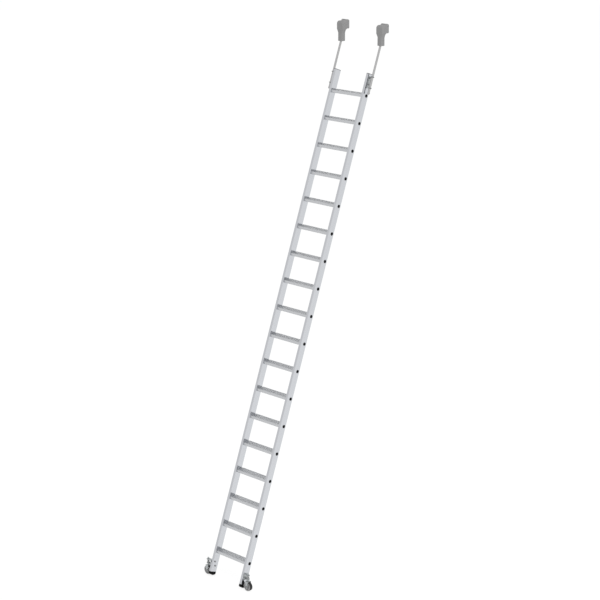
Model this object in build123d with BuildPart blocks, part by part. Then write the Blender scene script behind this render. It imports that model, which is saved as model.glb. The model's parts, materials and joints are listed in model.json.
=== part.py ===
from build123d import *
import os
from math import cos, hypot, pi, radians, sin, sqrt, tan

# A leaning shelf ladder on two sprung castors, whose telescopic rail heads roll along a rail at the top.
# X runs across the ladder, Y back towards the shelf, Z up. The origin is on the floor, midway between
# the two castor wheels. Pieces of the right side are modelled, and the left ones are their mirror images.

# Overall sizes
lean_angle = 20.0  # of the stiles, back from the vertical
tread_count = 18
tread_pitch = 250.0  # along the stile
first_tread_height = 235.0  # top of the lowest tread above the floor
outer_width = 420.0  # over both stiles
crossing_height = 63.0  # above the floor, where the stile's middle line stands over the wheels
snug = 0.02  # clearance of a pin, bolt or bush in the hole that holds it
near = 0.01  # within which an edge counts as lying on a face

# Stile: a hollow box extrusion
stile_depth = 67.0
stile_width = 25.0
stile_wall = 2.0
stile_corner = 2.5
stile_above_last_fixing = 192.0

# Tread: a hollow extrusion with a grooved top and a screw boss
tread_depth = 78.0
tread_height = 25.0
tread_corner = 4.0
tread_wall = 2.0
tread_top_wall = 3.2
groove_pitch = 5.4
groove_width = 2.4
groove_depth = 1.0
boss_radius = 8.0
boss_forward = 7.0  # of the boss in front of the tread's middle
boss_drop = 3.0  # of the boss below the tread's middle
boss_web = 2.4
fixing_setback = 9.0  # of the fixing behind the stile's middle line

# Tread screws and the plugs over their access holes
screw_diameter = 8.0
screw_length = 34.0
screw_head_across = 13.0
screw_head_height = 5.5
screw_clearance = 0.3
plug_diameter = 30.0
plug_proud = 2.0
plug_shank = 20.0
plug_depth = 5.0
plug_clearance = 0.1

# Rubber foot
foot_lift = 11.0  # of the sole above the floor while the castors carry the ladder
sole_radius = 55.0
foot_side_height = 20.0
foot_insert = 40.0
insert_clearance = 0.15
sole_groove_count = 5
sole_groove_angle = 12.0
sole_groove_width = 3.0
sole_groove_depth = 2.0

# End cap on the stile's top
cap_thickness = 4.5
cap_insert = 18.0
cap_chamfer = 1.0

# Guide bracket, its bushes and bolts
guide_thickness = 3.0
guide_side_margin = 3.0  # beside the bush
guide_length = 102.0
guide_below_top = 20.0
guide_bend = 4.0
guide_end_margin = 3.0  # of the flange beyond the bush
guide_bolt_below_top = 15.0  # of the upper bolt under the upper flange
guide_bolt_spacing = 57.0
bush_wall = 3.0
bush_flange = 1.5
bush_flange_thickness = 2.0
bolt_diameter = 8.0
bolt_head_across = 13.0
bolt_head_height = 5.5
bolt_clearance = 0.3
nut_height = 6.5
bolt_beyond_nut = 2.0
rivet_nut_across = 12.0
rivet_nut_length = 12.0

# Telescopic rod with its stop pin and pivot pin
rod_diameter = 20.0
rod_forward = 2.5  # of the rods in front of the stile's middle line
rod_wall = 2.0
rod_stretch = 281.0  # from the guide bracket's top to the head's neck
rod_below_guide = 55.0
rod_above_pivot = 12.0
rod_clearance = 0.08
pivot_diameter = 8.0
pivot_clearance = 0.06
pivot_cover = 2.4  # of the head's cheek beyond the pin's end
stop_pin_diameter = 5.0
stop_pin_proud = 4.5  # of the pin's ends beyond the rod
stop_pin_above_end = 10.0

# Rail head: a moulded clamshell with a grooved roller under its overhang
neck_cheek = 14.6  # on either side of the rod's socket
neck_wall = 4.3  # in front of the socket
neck_clear_of_stile = 3.8
pivot_above_neck = 20.0
flare_start = 74.0
head_underside = 108.0
head_crown = 35.0  # above the roller's pocket
head_front_flare = 2.4
shoulder_drop = 11.3  # of the head's front below the hump over its pocket
pocket_cheek = 13.0  # on either side of the roller's pocket
pocket_wall = 5.0  # in front of the pocket and behind it
head_front_round = 26.0
hump_round = 12.0
head_back_round = 17.0
head_hollow_round = 14.0
head_edge_round = 8.0
head_lip_round = 9.0
head_flare_round = 30.0
parting_groove = 0.6  # around the head, where its halves meet
slot_clearance = 0.6
tilt_range = 20.0
roller_radius = 24.0
roller_width = 28.0
roller_groove_depth = 6.0
rail_radius = 15.0
roller_below = 3.0
roller_side_gap = 1.0
roller_rim_gap = 2.0
roller_axle_diameter = 10.0
roller_axle_seat = 14.0  # of the axle's front end in the neck
roller_axle_cover = 2.5  # of the overhang's back wall behind the axle's end
pin_chamfer = 0.6
rail_clearance = 0.5
roller_clearance = 0.08
head_screw_diameter = 6.0
head_screw_head = 10.0
head_screw_head_height = 6.0
head_screw_sink = 2.0
head_screw_grip = 14.0  # of the screw in the inner half
head_screw_clearance = 0.2

# Sprung castor
wheel_radius = 40.0
wheel_width = 32.0
wheel_gap = 9.0
tyre_thickness = 4.0
tyre_round = 3.0
hub_radius = 12.0
hub_play = 0.5  # between the hub and each leg of the fork
wheel_web = 16.0
rim_thickness = 6.0
rim_flange = 2.5  # on either side of the tyre
flange_recess = 1.0  # of the flanges inside the tyre's tread
rib_count = 6
rib_thickness = 3.0
rib_recess = 3.0  # of the ribs inside the rim's sides
rib_root = 1.0  # of each end of a rib in the hub or the rim
axle_diameter = 8.0
axle_clearance = 0.08
fork_thickness = 3.0
fork_width = 32.0
fork_gap = 2.0
fork_eye = 13.0
fork_bend = 5.0
crown_gap = 6.0
crown_thickness = 4.0
castor_travel = 14.0
lug_gap = 2.0
lug_thickness = 4.0
lug_half_width = 16.0
stem_diameter = 14.0
stem_above_lug = 14.0
stem_chamfer = 2.0
stem_clearance = 0.08
seat_margin = 0.8  # beyond the spring
seat_thickness = 3.0
seat_gap = 0.2
spring_length = 29.0
spring_wire = 2.4
spring_mean_radius = 11.0
spring_turns = 4.5
spring_end_pitch = 2.9
spring_gap = 0.3
castor_plate = 4.0
castor_bolt_setback = 14.0
castor_bolt_below_lower_lug = 12.0
castor_bolt_below_upper_lug = 8.0
castor_plate_margin = 12.0
castor_plate_width = 48.0
castor_corner = 4.0

# The leaning frame: across, square to the stiles, along the stiles
lean = radians(lean_angle)
ladder = Plane(origin=(0, 0, crossing_height), x_dir=(1, 0, 0), z_dir=(0, sin(lean), cos(lean)))
across = Vector(1, 0, 0)
inward = ladder.y_dir
along = ladder.z_dir
half_width = outer_width / 2
inner_face = half_width - stile_width
stile_middle = half_width - stile_width / 2


def place(setback, level):
    """Y and Z of a point of the leaning frame."""
    y = setback * cos(lean) + level * sin(lean)
    z = crossing_height - setback * sin(lean) + level * cos(lean)
    return y, z


def level_at(height, setback=0.0):
    """Level along the stile of a point at a height above the floor."""
    return (height - crossing_height + setback * sin(lean)) / cos(lean)


def face_plane(x):
    """Plane of a stile's side face at X: its X is square to the stile, its Y along the stile."""
    return Plane(origin=(x, 0, crossing_height), x_dir=inward, z_dir=across)


def front_plane(setback):
    """Plane square to the stile's depth: its X is across, its Y along the stile."""
    return Plane(origin=(0, *place(setback, 0)), x_dir=across, z_dir=-inward)


def section_plane(x, y=0.0, z=0.0):
    """Upright plane at X, seen from the right: its X is back, its Y is up."""
    return Plane(origin=(x, y, z), x_dir=(0, 1, 0), z_dir=across)


# Levels along the stile
boss_height = first_tread_height - tread_height / 2 - boss_drop
first_fixing = level_at(boss_height, fixing_setback)
fixing_levels = [first_fixing + tread_pitch * i for i in range(tread_count)]
stile_top = fixing_levels[-1] + stile_above_last_fixing
sole_center = level_at(sole_radius + foot_lift)
sole_edge = sole_center - sqrt(sole_radius**2 - (stile_depth / 2) ** 2)
stile_bottom = sole_edge + foot_side_height
guide_top = stile_top - guide_below_top
guide_bottom = guide_top - guide_length
rod_setback = -rod_forward
slot_half_width = rod_diameter / 2 + slot_clearance
neck_width = 2 * (slot_half_width + neck_cheek)
neck_depth = 2 * (slot_half_width / cos(lean) + pivot_above_neck * tan(lean) + neck_wall)
rod_x = half_width + neck_clear_of_stile + neck_width / 2
neck_level = guide_top + rod_stretch
pivot_level = neck_level + pivot_above_neck / cos(lean)
pivot_y, pivot_z = place(rod_setback, pivot_level)
rod_bottom = guide_bottom - rod_below_guide
rod_top = pivot_level + rod_above_pivot
neck_z = pivot_z - pivot_above_neck

# Heights and places of the castor
castor_x = half_width + wheel_gap + wheel_radius
crown_top = 2 * wheel_radius + crown_gap + crown_thickness
lower_lug = crown_top + castor_travel + lug_gap
seat_bottom = lower_lug + lug_thickness + seat_gap
seat_top = seat_bottom + seat_thickness
upper_lug = seat_top + spring_length
lug_top = upper_lug + lug_thickness
stem_top = lug_top + stem_above_lug
castor_bolt_heights = (lower_lug - castor_bolt_below_lower_lug, upper_lug - castor_bolt_below_upper_lug)
castor_bolt_places = [(castor_bolt_setback, height) for height in castor_bolt_heights]
fork_inside = wheel_width / 2 + fork_gap
fork_outside = fork_inside + fork_thickness
fork_inner_bend = fork_bend - fork_thickness

os.makedirs("parts", exist_ok=True)


def save(piece, name):
    """Label a piece and write it."""
    piece.part.label = name
    export_step(piece.part, f"parts/{name}.step")


def save_pair(piece, name):
    """Write a right-hand piece and its left-hand mirror image."""
    save(piece, "right_" + name)
    with BuildPart() as mirrored:
        mirror(piece.part, about=Plane.YZ)
    save(mirrored, "left_" + name)


def save_group(piece, name):
    """Write a right-hand set of like pieces together with its mirror image."""
    with BuildPart() as group:
        add(piece.part)
        mirror(piece.part, about=Plane.YZ)
    save(group, name)


# Stile: open box section, with an access hole outside and a screw hole inside for each tread
fixings = [(fixing_setback, level) for level in fixing_levels]
guide_bolt_level = guide_top - guide_bolt_below_top
guide_bolts_at = [(rod_setback, guide_bolt_level), (rod_setback, guide_bolt_level - guide_bolt_spacing)]
with BuildPart() as stile:
    with BuildSketch(ladder.offset(stile_bottom)):
        with Locations((stile_middle, 0)):
            RectangleRounded(stile_width, stile_depth, stile_corner)
            Rectangle(stile_width - 2 * stile_wall, stile_depth - 2 * stile_wall, mode=Mode.SUBTRACT)
    extrude(amount=stile_top - stile_bottom)
    with BuildSketch(face_plane(half_width - stile_wall / 2)):
        with Locations(*fixings):
            Circle(plug_shank / 2 + plug_clearance)
        with Locations(*guide_bolts_at):
            Circle(bolt_diameter / 2 + bolt_clearance)
    extrude(amount=stile_wall, both=True, mode=Mode.SUBTRACT)
    with BuildSketch(face_plane(inner_face + stile_wall / 2)):
        with Locations(*fixings):
            Circle(screw_diameter / 2 + screw_clearance)
    extrude(amount=stile_wall, both=True, mode=Mode.SUBTRACT)
    with BuildSketch(section_plane(stile_middle)):
        with Locations(*castor_bolt_places):
            Circle(bolt_diameter / 2 + bolt_clearance)
    extrude(amount=stile_width, both=True, mode=Mode.SUBTRACT)
save_pair(stile, "stile")

# Treads: level extrusions between the stiles
tread_x = -inner_face
tread_length = 2 * inner_face
groove_count = int((tread_depth - 2 * tread_corner) / groove_pitch)
cavity_depth = tread_depth - 2 * tread_wall
cavity_height = tread_height - tread_wall - tread_top_wall
for number, level in enumerate(fixing_levels, start=1):
    boss_y, boss_z = place(fixing_setback, level)
    with BuildPart() as tread:
        with BuildSketch(section_plane(tread_x, boss_y + boss_forward, boss_z + boss_drop)):
            RectangleRounded(tread_depth, tread_height, tread_corner)
            with Locations((0, (tread_wall - tread_top_wall) / 2)):
                RectangleRounded(cavity_depth, cavity_height, tread_wall, mode=Mode.SUBTRACT)
            with Locations((-boss_forward, (tread_wall - tread_top_wall) / 2)):
                Rectangle(boss_web, cavity_height)
            with Locations((-boss_forward, -boss_drop)):
                Circle(boss_radius)
                Circle(screw_diameter / 2, mode=Mode.SUBTRACT)
            with Locations((0, tread_height / 2)):
                with GridLocations(groove_pitch, 0, groove_count, 1):
                    Rectangle(groove_width, 2 * groove_depth, mode=Mode.SUBTRACT)
        extrude(amount=tread_length)
    save(tread, f"tread_{number:02d}")

# Tread screws: each sits inside the stile and pulls the tread's boss against the inner wall
with BuildPart() as screws:
    with BuildSketch(face_plane(inner_face + stile_wall)):
        with Locations(*fixings):
            RegularPolygon(screw_head_across / 2, 6, major_radius=False)
    extrude(amount=screw_head_height)
    with BuildSketch(face_plane(inner_face + stile_wall)):
        with Locations(*fixings):
            Circle(screw_diameter / 2 - snug)
    extrude(amount=-screw_length)
save_group(screws, "tread_screws")

# Plugs: black covers over the access holes
with BuildPart() as plugs:
    with BuildSketch(face_plane(half_width)):
        with Locations(*fixings):
            Circle(plug_diameter / 2)
    extrude(amount=plug_proud)
    chamfer(plugs.edges().group_by(Axis.X)[-1], plug_proud / 2)
    with BuildSketch(face_plane(half_width)):
        with Locations(*fixings):
            Circle(plug_shank / 2)
    extrude(amount=-plug_depth)
save_group(plugs, "tread_plugs")

# Rubber foot: a plug in the stile over a sole that is rounded, so that it stands at any lean
insert_depth = stile_depth - 2 * stile_wall - 2 * insert_clearance
insert_width = stile_width - 2 * stile_wall - 2 * insert_clearance
with BuildPart() as foot:
    with BuildSketch(face_plane(stile_middle)):
        with BuildLine():
            top_left = (-stile_depth / 2, stile_bottom)
            top_right = (stile_depth / 2, stile_bottom)
            edge_left = (-stile_depth / 2, sole_edge)
            edge_right = (stile_depth / 2, sole_edge)
            Polyline(edge_left, top_left, top_right, edge_right)
            ThreePointArc(edge_right, (0, sole_center - sole_radius), edge_left)
        make_face()
        with Locations((0, sole_center)):
            with PolarLocations(
                sole_radius,
                sole_groove_count,
                start_angle=-90 - sole_groove_angle * (sole_groove_count - 1) / 2,
                angular_range=sole_groove_angle * (sole_groove_count - 1),
                endpoint=True,
            ):
                Rectangle(2 * sole_groove_depth, sole_groove_width, mode=Mode.SUBTRACT)
    extrude(amount=stile_width / 2, both=True)
    corners = foot.edges().filter_by(Axis((0, 0, 0), along))
    fillet(corners.group_by(SortBy.LENGTH)[-1], stile_corner)
    with BuildSketch(ladder.offset(stile_bottom)):
        with Locations((stile_middle, 0)):
            Rectangle(insert_width, insert_depth)
    extrude(amount=foot_insert)
save_pair(foot, "foot")

# End cap: a moulded lid with a hollow insert
with BuildPart() as cap:
    with BuildSketch(ladder.offset(stile_top)):
        with Locations((stile_middle, 0)):
            RectangleRounded(stile_width, stile_depth, stile_corner)
    extrude(amount=cap_thickness)
    chamfer(cap.faces().sort_by(Axis((0, 0, 0), along))[-1].edges(), cap_chamfer)
    with BuildSketch(ladder.offset(stile_top)):
        with Locations((stile_middle, 0)):
            Rectangle(insert_width, insert_depth)
            Rectangle(insert_width - 2 * stile_wall, insert_depth - 2 * stile_wall, mode=Mode.SUBTRACT)
    extrude(amount=-cap_insert)
save_pair(cap, "end_cap")

# Guide bracket: bent strip with its web on the stile's outer face and a bush in each flange
bush_radius = rod_diameter / 2 + rod_clearance + bush_wall
guide_width = 2 * (bush_radius + guide_side_margin)
guide_reach = bush_radius + guide_end_margin
guide_end = rod_x + guide_reach
with BuildPart() as guide:
    with BuildSketch(front_plane(rod_setback)):
        with BuildLine():
            Polyline(
                (half_width, guide_bottom),
                (guide_end, guide_bottom),
                (guide_end, guide_bottom + guide_thickness),
                (half_width + guide_thickness, guide_bottom + guide_thickness),
                (half_width + guide_thickness, guide_top - guide_thickness),
                (guide_end, guide_top - guide_thickness),
                (guide_end, guide_top),
                (half_width, guide_top),
                close=True,
            )
        make_face()
    extrude(amount=guide_width / 2, both=True)
    bends = guide.edges().filter_by(Axis((0, 0, 0), inward))
    fillet(bends.group_by(Axis.X)[0], guide_bend)
    fillet(bends.group_by(Axis.X)[1], guide_bend - guide_thickness)
    corners = guide.edges().filter_by(Axis((0, 0, 0), along)).group_by(Axis.X)[-1]
    fillet(corners, guide_reach - guide_thickness)
    with BuildSketch(ladder.offset(guide_bottom)):
        with Locations((rod_x, rod_setback)):
            Circle(bush_radius)
    extrude(amount=guide_length, mode=Mode.SUBTRACT)
    with BuildSketch(face_plane(half_width)):
        with Locations(*guide_bolts_at):
            Circle(bolt_diameter / 2 + bolt_clearance)
    extrude(amount=guide_thickness, mode=Mode.SUBTRACT)
save_pair(guide, "guide_bracket")

# Guide bushes: flanged sleeves, pushed into the flanges from outside
bush_length = guide_thickness + 2 * bush_flange_thickness
with BuildPart() as bushes:
    for level, way in ((guide_top, 1), (guide_bottom, -1)):
        with BuildSketch(ladder.offset(level)):
            with Locations((rod_x, rod_setback)):
                Circle(bush_radius + bush_flange)
        extrude(amount=way * bush_flange_thickness)
        with BuildSketch(ladder.offset(level)):
            with Locations((rod_x, rod_setback)):
                Circle(bush_radius - snug)
        extrude(amount=way * (bush_flange_thickness - bush_length))
    with BuildSketch(ladder.offset(guide_bottom - bush_length)):
        with Locations((rod_x, rod_setback)):
            Circle(rod_diameter / 2 + rod_clearance)
    extrude(amount=guide_length + 2 * bush_length, mode=Mode.SUBTRACT)
save_group(bushes, "guide_bushes")

# Guide bolts, each in a blind nut inside the stile
with BuildPart() as guide_bolts:
    with BuildSketch(face_plane(half_width + guide_thickness)):
        with Locations(*guide_bolts_at):
            RegularPolygon(bolt_head_across / 2, 6, major_radius=False)
    extrude(amount=bolt_head_height)
    with BuildSketch(face_plane(half_width + guide_thickness)):
        with Locations(*guide_bolts_at):
            Circle(bolt_diameter / 2)
    extrude(amount=-guide_thickness - stile_wall - rivet_nut_length)
    with BuildSketch(face_plane(half_width - stile_wall)):
        with Locations(*guide_bolts_at):
            Circle(rivet_nut_across / 2)
            Circle(bolt_diameter / 2 + snug, mode=Mode.SUBTRACT)
    extrude(amount=-rivet_nut_length)
save_group(guide_bolts, "guide_bolts")

# Rod: a steel tube with a cross hole for each pin
stop_pin_level = rod_bottom + stop_pin_above_end
with BuildPart() as rod:
    with BuildSketch(ladder.offset(rod_bottom)):
        with Locations((rod_x, rod_setback)):
            Circle(rod_diameter / 2)
            Circle(rod_diameter / 2 - rod_wall, mode=Mode.SUBTRACT)
    extrude(amount=rod_top - rod_bottom)
    with BuildSketch(face_plane(rod_x)):
        with Locations((rod_setback, pivot_level)):
            Circle(pivot_diameter / 2 + snug)
        with Locations((rod_setback, stop_pin_level)):
            Circle(stop_pin_diameter / 2 + snug)
    extrude(amount=rod_diameter, both=True, mode=Mode.SUBTRACT)
save_pair(rod, "rod")

with BuildPart() as stop_pin:
    with BuildSketch(face_plane(rod_x)):
        with Locations((rod_setback, stop_pin_level)):
            Circle(stop_pin_diameter / 2)
    extrude(amount=rod_diameter / 2 + stop_pin_proud, both=True)
save_pair(stop_pin, "rod_stop_pin")

pivot_half_length = neck_width / 2 - pivot_cover
with BuildPart() as pivot_pin:
    with BuildSketch(section_plane(rod_x, pivot_y, pivot_z)):
        Circle(pivot_diameter / 2)
    extrude(amount=pivot_half_length, both=True)
save_pair(pivot_pin, "head_pivot_pin")

# Rail head: the meeting of a side outline and a front outline, with a tilting socket for the rod below
# and a pocket for the roller under the overhang. It is moulded as two halves that meet over the rod.
head_side = section_plane(rod_x, pivot_y, neck_z)
head_front = Plane(origin=(rod_x, pivot_y, neck_z), x_dir=across, z_dir=(0, -1, 0))
neck_front = -neck_depth / 2
neck_back = neck_depth / 2
block_front = neck_front - head_front_flare
pocket_half_depth = roller_width / 2 + roller_side_gap
rail_y = neck_back + pocket_wall + pocket_half_depth
block_back = rail_y + pocket_half_depth + pocket_wall
roller_z = head_underside - roller_below + roller_radius
pocket_radius = roller_radius + roller_rim_gap
head_width = 2 * (pocket_radius + pocket_cheek)
head_height = roller_z + pocket_radius + head_crown
shoulder_height = head_height - shoulder_drop
hump_start = rail_y - pocket_half_depth
hump_top = hump_start + shoulder_drop
hump_tangent = hump_round * tan(pi / 8)
back_round = min(head_back_round, block_back - hump_top - hump_tangent - near)
axle_end = block_back - roller_axle_cover
roller_axle_length = axle_end - (rail_y - pocket_half_depth) + roller_axle_seat
head_screws_at = [
    (0, (pivot_above_neck + flare_start) / 2, neck_width / 2),
    (block_front + head_front_round, shoulder_height - head_front_round, head_width / 2),
    (rail_y, head_height - back_round - head_screw_head / 2, head_width / 2),
]
with BuildPart() as head:
    with BuildSketch(head_side) as head_outline:
        with BuildLine():
            FilletPolyline(
                (neck_front, 0),
                (neck_back, 0),
                (neck_back, head_underside),
                (block_back, head_underside),
                (block_back, head_height),
                (hump_top, head_height),
                (hump_start, shoulder_height),
                (block_front, shoulder_height),
                (block_front, head_underside),
                (neck_front, flare_start),
                radius=[
                    0,
                    0,
                    head_hollow_round,
                    head_lip_round,
                    back_round,
                    hump_round,
                    hump_round,
                    head_front_round,
                    0,
                    0,
                ],
                close=True,
            )
        make_face()
    extrude(amount=head_width / 2, both=True)
    with BuildSketch(head_front):
        with BuildLine():
            FilletPolyline(
                (-neck_width / 2, 0),
                (neck_width / 2, 0),
                (neck_width / 2, flare_start),
                (head_width / 2, head_underside),
                (head_width / 2, head_height),
                (-head_width / 2, head_height),
                (-head_width / 2, head_underside),
                (-neck_width / 2, flare_start),
                radius=[0, 0, head_flare_round, head_flare_round, 0, 0, head_flare_round, head_flare_round],
                close=True,
            )
        make_face()
    extrude(amount=block_back - block_front, both=True, mode=Mode.INTERSECT)
    rims = head.edges().filter_by(lambda edge: abs(edge.center().X - rod_x) > neck_width / 2 - near)
    rims = rims.filter_by(lambda edge: edge.center().Z > neck_z + near)
    fillet(rims, head_edge_round)
    with BuildSketch(head_side):
        add(head_outline.sketch_local)
        offset(amount=-parting_groove, mode=Mode.SUBTRACT)
    extrude(amount=parting_groove, both=True, mode=Mode.SUBTRACT)
    # Socket: room for the rod from upright to its full lean
    with BuildSketch(head_side):
        with Locations((0, pivot_above_neck)):
            Circle(hypot(rod_above_pivot, rod_diameter / 2) + slot_clearance)
            for angle in (-lean_angle, tilt_range - lean_angle):
                Rectangle(
                    rod_diameter + 2 * slot_clearance,
                    2 * pivot_above_neck,
                    rotation=angle,
                    align=(Align.CENTER, Align.MAX),
                )
    extrude(amount=slot_half_width, both=True, mode=Mode.SUBTRACT)
    with BuildSketch(head_side):
        with Locations((0, pivot_above_neck)):
            Circle(pivot_diameter / 2 + pivot_clearance)
    extrude(amount=pivot_half_length + slot_clearance, both=True, mode=Mode.SUBTRACT)
    # Roller pocket, open below, and the bore of the roller's axle
    with BuildSketch(head_front.offset(-rail_y)):
        with Locations((0, roller_z)):
            Circle(pocket_radius)
            Rectangle(2 * pocket_radius, head_height, align=(Align.CENTER, Align.MAX))
    extrude(amount=pocket_half_depth, both=True, mode=Mode.SUBTRACT)
    with BuildSketch(head_front.offset(-axle_end)):
        with Locations((0, roller_z)):
            Circle(roller_axle_diameter / 2 + snug)
    extrude(amount=roller_axle_length, mode=Mode.SUBTRACT)
    # Screw holes: sunk in the outer half, blind in the inner half
    for y, z, reach in head_screws_at:
        with BuildSketch(head_side.offset(reach)):
            with Locations((y, z)):
                Circle(head_screw_head / 2 + head_screw_clearance)
        extrude(amount=-head_screw_sink - head_screw_head_height, mode=Mode.SUBTRACT)
        with BuildSketch(head_side.offset(reach)):
            with Locations((y, z)):
                Circle(head_screw_diameter / 2 + snug)
        extrude(amount=-reach - head_screw_grip, mode=Mode.SUBTRACT)
with BuildPart() as head_outer:
    add(head.part)
    split(bisect_by=head_side, keep=Keep.TOP)
with BuildPart() as head_inner:
    add(head.part)
    split(bisect_by=head_side, keep=Keep.BOTTOM)
save_pair(head_outer, "head_outer_half")
save_pair(head_inner, "head_inner_half")

with BuildPart() as head_screws:
    for y, z, reach in head_screws_at:
        with BuildSketch(head_side.offset(reach - head_screw_sink)):
            with Locations((y, z)):
                Circle(head_screw_head / 2)
                RegularPolygon(head_screw_diameter / 2, 6, major_radius=False, mode=Mode.SUBTRACT)
        extrude(amount=-head_screw_head_height)
        with BuildSketch(head_side.offset(reach - head_screw_sink - head_screw_head_height / 2)):
            with Locations((y, z)):
                Circle(head_screw_head / 2)
        extrude(amount=-head_screw_head_height / 2)
        with BuildSketch(head_side.offset(reach - head_screw_sink - head_screw_head_height)):
            with Locations((y, z)):
                Circle(head_screw_diameter / 2)
        extrude(amount=head_screw_head_height + head_screw_sink - reach - head_screw_grip)
save_pair(head_screws, "head_screws")

# Roller: grooved for the rail, on an axle that the two halves hold
roller_axis = Axis((rod_x, pivot_y, neck_z + roller_z), (0, 1, 0))
groove_radius = rail_radius + rail_clearance
groove_center = roller_radius - roller_groove_depth + groove_radius
groove_half = sqrt(groove_radius**2 - (groove_center - roller_radius) ** 2)
with BuildPart() as roller:
    with BuildSketch(section_plane(rod_x, pivot_y + rail_y, neck_z + roller_z)):
        bore = roller_axle_diameter / 2 + roller_clearance
        with BuildLine():
            Polyline(
                (-groove_half, roller_radius),
                (-roller_width / 2, roller_radius),
                (-roller_width / 2, bore),
                (roller_width / 2, bore),
                (roller_width / 2, roller_radius),
                (groove_half, roller_radius),
            )
            ThreePointArc(
                (groove_half, roller_radius),
                (0, roller_radius - roller_groove_depth),
                (-groove_half, roller_radius),
            )
        make_face()
    revolve(axis=roller_axis)
save_pair(roller, "head_roller")

with BuildPart() as roller_axle:
    with BuildSketch(head_front.offset(-axle_end)):
        with Locations((0, roller_z)):
            Circle(roller_axle_diameter / 2)
    extrude(amount=roller_axle_length)
    chamfer(roller_axle.edges().filter_by(GeomType.CIRCLE), snug + pin_chamfer)
save_pair(roller_axle, "roller_axle")

# Castor bracket: a plate on the stile with two lugs that guide the stem
bolt_levels = [y * sin(lean) + (z - crossing_height) * cos(lean) for y, z in castor_bolt_places]
plate_bottom = bolt_levels[0] - castor_plate_margin
plate_top = bolt_levels[1] + castor_plate_margin
with BuildPart() as castor_bracket:
    with BuildSketch(section_plane(half_width)):
        with Locations(place(0, (plate_bottom + plate_top) / 2)):
            RectangleRounded(
                castor_plate_width,
                plate_top - plate_bottom,
                castor_corner,
                rotation=-lean_angle,
            )
        with Locations((0, (lower_lug + lug_top) / 2)):
            Rectangle(2 * lug_half_width, lug_top - lower_lug)
        with Locations(*castor_bolt_places):
            Circle(bolt_diameter / 2 + bolt_clearance, mode=Mode.SUBTRACT)
    extrude(amount=castor_plate)
    for height in (lower_lug, upper_lug):
        with BuildSketch(Plane.XY.offset(height)):
            with Locations((half_width, 0)):
                Rectangle(castor_x - half_width, 2 * lug_half_width, align=(Align.MIN, Align.CENTER))
            with Locations((castor_x, 0)):
                Circle(lug_half_width)
                Circle(stem_diameter / 2 + stem_clearance, mode=Mode.SUBTRACT)
        extrude(amount=lug_thickness)
save_pair(castor_bracket, "castor_bracket")

# Castor bolts through the stile, with nuts on its inner face
with BuildPart() as castor_bolts:
    with BuildSketch(section_plane(half_width + castor_plate)):
        with Locations(*castor_bolt_places):
            RegularPolygon(bolt_head_across / 2, 6, major_radius=False)
    extrude(amount=bolt_head_height)
    with BuildSketch(section_plane(half_width + castor_plate)):
        with Locations(*castor_bolt_places):
            Circle(bolt_diameter / 2)
    extrude(amount=-castor_plate - stile_width - nut_height - bolt_beyond_nut)
save_group(castor_bolts, "castor_bolts")

with BuildPart() as castor_nuts:
    with BuildSketch(section_plane(inner_face)):
        with Locations(*castor_bolt_places):
            RegularPolygon(bolt_head_across / 2, 6, major_radius=False)
            Circle(bolt_diameter / 2 + snug, mode=Mode.SUBTRACT)
    extrude(amount=-nut_height)
save_group(castor_nuts, "castor_nuts")

# Castor fork: folded legs under a crown, with the stem and the spring's seat welded on
castor_front = Plane(origin=(castor_x, 0, 0), x_dir=across, z_dir=(0, -1, 0))
with BuildPart() as fork:
    with BuildSketch(castor_front):
        with BuildLine():
            CenterArc((0, wheel_radius), fork_eye, 0, 360)
            Line((-fork_width / 2, crown_top), (fork_width / 2, crown_top))
        make_hull()
        with Locations((0, wheel_radius)):
            Circle(axle_diameter / 2 + snug, mode=Mode.SUBTRACT)
    extrude(amount=fork_outside, both=True)
    with BuildSketch(section_plane(castor_x)):
        with BuildLine():
            FilletPolyline(
                (-fork_outside, 0),
                (-fork_outside, crown_top),
                (fork_outside, crown_top),
                (fork_outside, 0),
                (fork_inside, 0),
                (fork_inside, crown_top - crown_thickness),
                (-fork_inside, crown_top - crown_thickness),
                (-fork_inside, 0),
                radius=[0, fork_bend, fork_bend, 0, 0, fork_inner_bend, fork_inner_bend, 0],
                close=True,
            )
        make_face()
    extrude(amount=fork_width, both=True, mode=Mode.INTERSECT)
    with BuildSketch(Plane.XY.offset(crown_top)):
        with Locations((castor_x, 0)):
            Circle(stem_diameter / 2)
    extrude(amount=stem_top - crown_top)
    chamfer(fork.faces().sort_by(Axis.Z)[-1].edges(), stem_chamfer)
    with BuildSketch(Plane.XY.offset(seat_bottom)):
        with Locations((castor_x, 0)):
            Circle(spring_mean_radius + spring_wire / 2 + seat_margin)
    extrude(amount=seat_thickness)
save_pair(fork, "castor_fork")

# Castor axle: a bolt through both legs, with its nut
with BuildPart() as castor_axle:
    with BuildSketch(castor_front.offset(fork_outside)):
        with Locations((0, wheel_radius)):
            RegularPolygon(bolt_head_across / 2, 6, major_radius=False)
    extrude(amount=bolt_head_height)
    with BuildSketch(castor_front.offset(fork_outside)):
        with Locations((0, wheel_radius)):
            Circle(axle_diameter / 2)
    extrude(amount=-2 * fork_outside - nut_height - bolt_beyond_nut)
    with BuildSketch(castor_front.offset(-fork_outside)):
        with Locations((0, wheel_radius)):
            RegularPolygon(bolt_head_across / 2, 6, major_radius=False)
            Circle(axle_diameter / 2 + snug, mode=Mode.SUBTRACT)
    extrude(amount=-nut_height)
save_pair(castor_axle, "castor_axle")

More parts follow.
